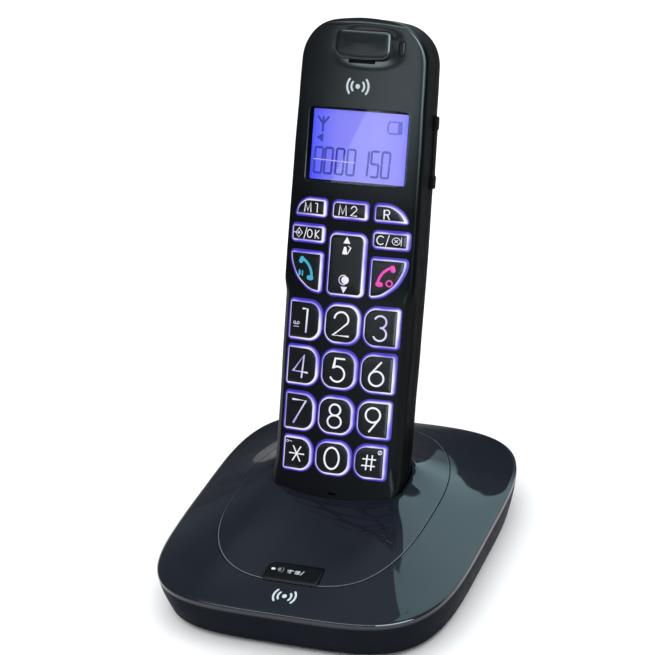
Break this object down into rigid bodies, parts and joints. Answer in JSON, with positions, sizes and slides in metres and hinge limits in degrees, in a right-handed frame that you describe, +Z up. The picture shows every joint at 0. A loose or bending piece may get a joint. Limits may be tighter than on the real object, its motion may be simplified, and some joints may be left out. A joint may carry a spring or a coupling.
{
  "type": "cordless telephone with charging base",
  "caption": "Cordless telephone: a slim leaning handset with large lit keys and a display stands in a square charging base that has a paging button and rear sockets.",
  "frame": {"origin": "under the middle of the whole object's box, on the surface it stands on", "axes": "+Z up, -Y the front that faces the user, +X to the phone's right-hand side"},
  "size_m": [0.1124, 0.1466, 0.1839],
  "materials": {
    "handset_plastic": "black moulded plastic, satin gloss",
    "base_plastic": "blue-black moulded plastic, soft gloss",
    "button_plastic": "black plastic with white symbols",
    "key_plastic": "clear key with a black cap, lit from below",
    "window_plastic": "clear polished window",
    "display_glass": "violet-blue backlit display",
    "light_pipe": "clear light pipe",
    "silicone_mat": "translucent silicone",
    "foot_rubber": "black rubber",
    "screw_steel": "zinc plated",
    "contact_metal": "nickel plated contact strip",
    "battery_sleeve": "printed sleeve over a metal can",
    "circuit_board": "green solder mask",
    "speaker_metal": "metal can and magnet",
    "socket_plastic": "black socket housing"
  },
  "bodies": {
    "base": {"base_top_cover": "base_plastic", "cradle_insert": "base_plastic", "base_bottom_cover": "base_plastic", "base_circuit_board": "circuit_board", "line_jack": "socket_plastic", "dc_jack": "socket_plastic", "rubber_foot_front_left": "foot_rubber", "rubber_foot_front_right": "foot_rubber", "rubber_foot_rear_left": "foot_rubber", "rubber_foot_rear_right": "foot_rubber", "base_screw_front_left": "screw_steel", "base_screw_front_right": "screw_steel", "base_screw_rear_left": "screw_steel", "base_screw_rear_right": "screw_steel"},
    "handset": {"handset_front_cover": "handset_plastic", "handset_rear_cover": "handset_plastic", "display_window": "window_plastic", "lcd_module": "display_glass", "earpiece_pad": "handset_plastic", "earpiece_speaker": "speaker_metal", "ring_led_lens": "light_pipe", "microphone": "speaker_metal", "keypad_mat": "silicone_mat", "handset_circuit_board": "circuit_board", "handsfree_speaker": "speaker_metal", "battery_cell_1": "battery_sleeve", "battery_cell_2": "battery_sleeve", "battery_spring_contact": "contact_metal", "battery_flat_contact": "contact_metal", "handset_screw_left": "screw_steel", "handset_screw_right": "screw_steel", "handset_charge_contact_left": "contact_metal", "handset_charge_contact_right": "contact_metal"},
    "key_m1": {"key_m1": "key_plastic"},
    "key_m2": {"key_m2": "key_plastic"},
    "key_r": {"key_r": "key_plastic"},
    "key_ok": {"key_ok": "key_plastic"},
    "key_clear": {"key_clear": "key_plastic"},
    "key_talk": {"key_talk": "key_plastic"},
    "key_end": {"key_end": "key_plastic"},
    "key_1": {"key_1": "key_plastic"},
    "key_2": {"key_2": "key_plastic"},
    "key_3": {"key_3": "key_plastic"},
    "key_4": {"key_4": "key_plastic"},
    "key_5": {"key_5": "key_plastic"},
    "key_6": {"key_6": "key_plastic"},
    "key_7": {"key_7": "key_plastic"},
    "key_8": {"key_8": "key_plastic"},
    "key_9": {"key_9": "key_plastic"},
    "key_star": {"key_star": "key_plastic"},
    "key_0": {"key_0": "key_plastic"},
    "key_hash": {"key_hash": "key_plastic"},
    "key_navigation": {"key_navigation": "key_plastic"},
    "volume_rocker": {"volume_rocker": "handset_plastic"},
    "battery_cover": {"battery_cover": "handset_plastic"},
    "page_button": {"page_button": "button_plastic", "page_led_lens": "light_pipe"},
    "base_charge_contact_left": {"base_charge_contact_left": "contact_metal"},
    "base_charge_contact_right": {"base_charge_contact_right": "contact_metal"}
  },
  "joints": [
    {"name": "handset_lift", "type": "slide", "parent": "base", "child": "handset", "axis": [0, 0.4055, 0.9141], "range_m": [0, 0.08]},
    {"name": "key_m1_press", "type": "slide", "parent": "handset", "child": "key_m1", "axis": [0, 0.9141, -0.4055], "range_m": [0, 0.0008], "stiffness_N_per_m": 800},
    {"name": "key_m2_press", "type": "slide", "parent": "handset", "child": "key_m2", "axis": [0, 0.9141, -0.4055], "range_m": [0, 0.0008], "stiffness_N_per_m": 800},
    {"name": "key_r_press", "type": "slide", "parent": "handset", "child": "key_r", "axis": [0, 0.9141, -0.4055], "range_m": [0, 0.0008], "stiffness_N_per_m": 800},
    {"name": "key_ok_press", "type": "slide", "parent": "handset", "child": "key_ok", "axis": [0, 0.9141, -0.4055], "range_m": [0, 0.0008], "stiffness_N_per_m": 800},
    {"name": "key_clear_press", "type": "slide", "parent": "handset", "child": "key_clear", "axis": [0, 0.9141, -0.4055], "range_m": [0, 0.0008], "stiffness_N_per_m": 800},
    {"name": "key_talk_press", "type": "slide", "parent": "handset", "child": "key_talk", "axis": [0, 0.9141, -0.4055], "range_m": [0, 0.0008], "stiffness_N_per_m": 800},
    {"name": "key_end_press", "type": "slide", "parent": "handset", "child": "key_end", "axis": [0, 0.9141, -0.4055], "range_m": [0, 0.0008], "stiffness_N_per_m": 800},
    {"name": "key_1_press", "type": "slide", "parent": "handset", "child": "key_1", "axis": [0, 0.9141, -0.4055], "range_m": [0, 0.0008], "stiffness_N_per_m": 800},
    {"name": "key_2_press", "type": "slide", "parent": "handset", "child": "key_2", "axis": [0, 0.9141, -0.4055], "range_m": [0, 0.0008], "stiffness_N_per_m": 800},
    {"name": "key_3_press", "type": "slide", "parent": "handset", "child": "key_3", "axis": [0, 0.9141, -0.4055], "range_m": [0, 0.0008], "stiffness_N_per_m": 800},
    {"name": "key_4_press", "type": "slide", "parent": "handset", "child": "key_4", "axis": [0, 0.9141, -0.4055], "range_m": [0, 0.0008], "stiffness_N_per_m": 800},
    {"name": "key_5_press", "type": "slide", "parent": "handset", "child": "key_5", "axis": [0, 0.9141, -0.4055], "range_m": [0, 0.0008], "stiffness_N_per_m": 800},
    {"name": "key_6_press", "type": "slide", "parent": "handset", "child": "key_6", "axis": [0, 0.9141, -0.4055], "range_m": [0, 0.0008], "stiffness_N_per_m": 800},
    {"name": "key_7_press", "type": "slide", "parent": "handset", "child": "key_7", "axis": [0, 0.9141, -0.4055], "range_m": [0, 0.0008], "stiffness_N_per_m": 800},
    {"name": "key_8_press", "type": "slide", "parent": "handset", "child": "key_8", "axis": [0, 0.9141, -0.4055], "range_m": [0, 0.0008], "stiffness_N_per_m": 800},
    {"name": "key_9_press", "type": "slide", "parent": "handset", "child": "key_9", "axis": [0, 0.9141, -0.4055], "range_m": [0, 0.0008], "stiffness_N_per_m": 800},
    {"name": "key_star_press", "type": "slide", "parent": "handset", "child": "key_star", "axis": [0, 0.9141, -0.4055], "range_m": [0, 0.0008], "stiffness_N_per_m": 800},
    {"name": "key_0_press", "type": "slide", "parent": "handset", "child": "key_0", "axis": [0, 0.9141, -0.4055], "range_m": [0, 0.0008], "stiffness_N_per_m": 800},
    {"name": "key_hash_press", "type": "slide", "parent": "handset", "child": "key_hash", "axis": [0, 0.9141, -0.4055], "range_m": [0, 0.0008], "stiffness_N_per_m": 800},
    {"name": "key_navigation_rock", "type": "hinge", "parent": "handset", "child": "key_navigation", "pos_m": [0, 0.01994, 0.10422], "axis": [1, 0, 0], "range_deg": [-2.5, 2.5], "stiffness_Nm_per_rad": 0.3},
    {"name": "volume_rocker_rock", "type": "hinge", "parent": "handset", "child": "volume_rocker", "pos_m": [0.0226, 0.0493, 0.13659], "axis": [0, 0.9141, -0.4055], "range_deg": [-2, 2], "stiffness_Nm_per_rad": 0.3},
    {"name": "battery_cover_slide", "type": "slide", "parent": "handset", "child": "battery_cover", "axis": [0, -0.4055, -0.9141], "range_m": [0, 0.01]},
    {"name": "page_button_press", "type": "slide", "parent": "base", "child": "page_button", "axis": [0, 0, -1], "range_m": [0, 0.0008], "stiffness_N_per_m": 600},
    {"name": "base_charge_contact_left_press", "type": "slide", "parent": "base", "child": "base_charge_contact_left", "axis": [0, -0.4055, -0.9141], "range_m": [0, 0.0012], "stiffness_N_per_m": 300},
    {"name": "base_charge_contact_right_press", "type": "slide", "parent": "base", "child": "base_charge_contact_right", "axis": [0, -0.4055, -0.9141], "range_m": [0, 0.0012], "stiffness_N_per_m": 300}
  ]
}
